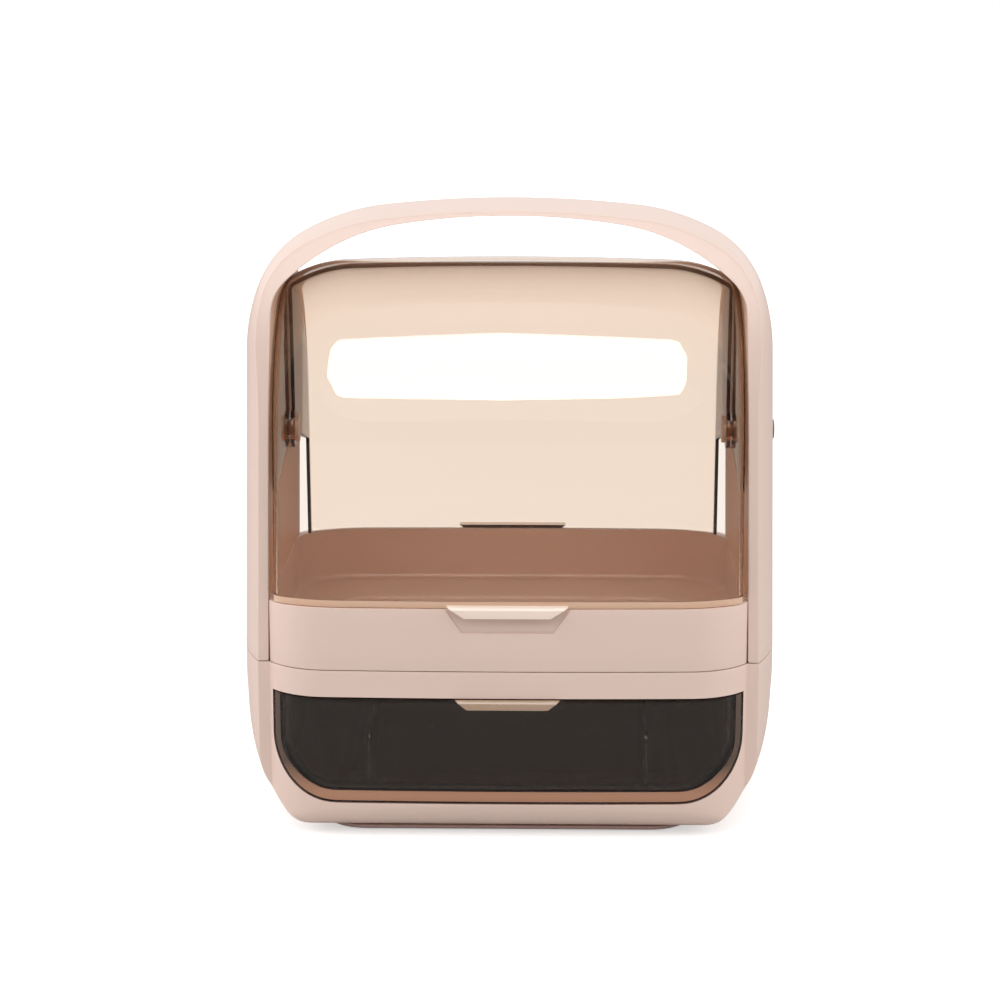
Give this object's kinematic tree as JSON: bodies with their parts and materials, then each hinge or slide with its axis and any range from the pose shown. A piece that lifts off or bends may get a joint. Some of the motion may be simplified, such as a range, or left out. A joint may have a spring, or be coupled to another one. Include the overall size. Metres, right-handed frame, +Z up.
{
  "type": "cosmetic organizer box",
  "caption": "Carry-handled cosmetic box with nested clear covers that swing up to the front and back over a tray, and a clear-fronted drawer below.",
  "frame": {"origin": "centre of the footprint, on the surface that the foot pads stand on", "axes": "+X to the right seen from the front, -Y out of the front with the drawer, +Z up"},
  "size_m": [0.2668, 0.194, 0.3012],
  "materials": {
    "pink_plastic": "satin",
    "amber_clear": "polished clear amber plastic",
    "pad_rubber": "matte",
    "screw_steel": "plain",
    "pin_plastic": "natural",
    "cap_plastic": "satin"
  },
  "bodies": {
    "base": {"lower_housing": "pink_plastic", "foot_plate": "pink_plastic", "foot_pads": "pad_rubber", "base_screws": "screw_steel", "upper_tray": "pink_plastic", "tray_screws": "screw_steel", "arch_shell": "pink_plastic", "arch_liner": "pink_plastic", "arch_screws": "screw_steel", "pivot_pin_left": "pin_plastic", "pivot_spacer_left": "pin_plastic", "pivot_clip_left": "screw_steel", "pivot_cap_left": "cap_plastic", "drawer_rail_left": "pink_plastic", "drawer_stop_left": "pink_plastic", "pivot_pin_right": "pin_plastic", "pivot_spacer_right": "pin_plastic", "pivot_clip_right": "screw_steel", "pivot_cap_right": "cap_plastic", "drawer_rail_right": "pink_plastic", "drawer_stop_right": "pink_plastic"},
    "front_cover": {"front_cover": "amber_clear"},
    "rear_cover": {"rear_cover": "amber_clear"},
    "drawer": {"drawer_shell": "amber_clear", "drawer_divider_left": "amber_clear", "drawer_divider_right": "amber_clear"}
  },
  "joints": [
    {"name": "front_cover_hinge", "type": "hinge", "parent": "base", "child": "front_cover", "pos_m": [0, 0, 0.186], "axis": [-1, 0, 0], "range_deg": [0, 45]},
    {"name": "rear_cover_hinge", "type": "hinge", "parent": "base", "child": "rear_cover", "pos_m": [0, 0, 0.186], "axis": [1, 0, 0], "range_deg": [0, 45]},
    {"name": "drawer_slide", "type": "slide", "parent": "base", "child": "drawer", "axis": [0, -1, 0], "range_m": [0, 0.115]}
  ]
}
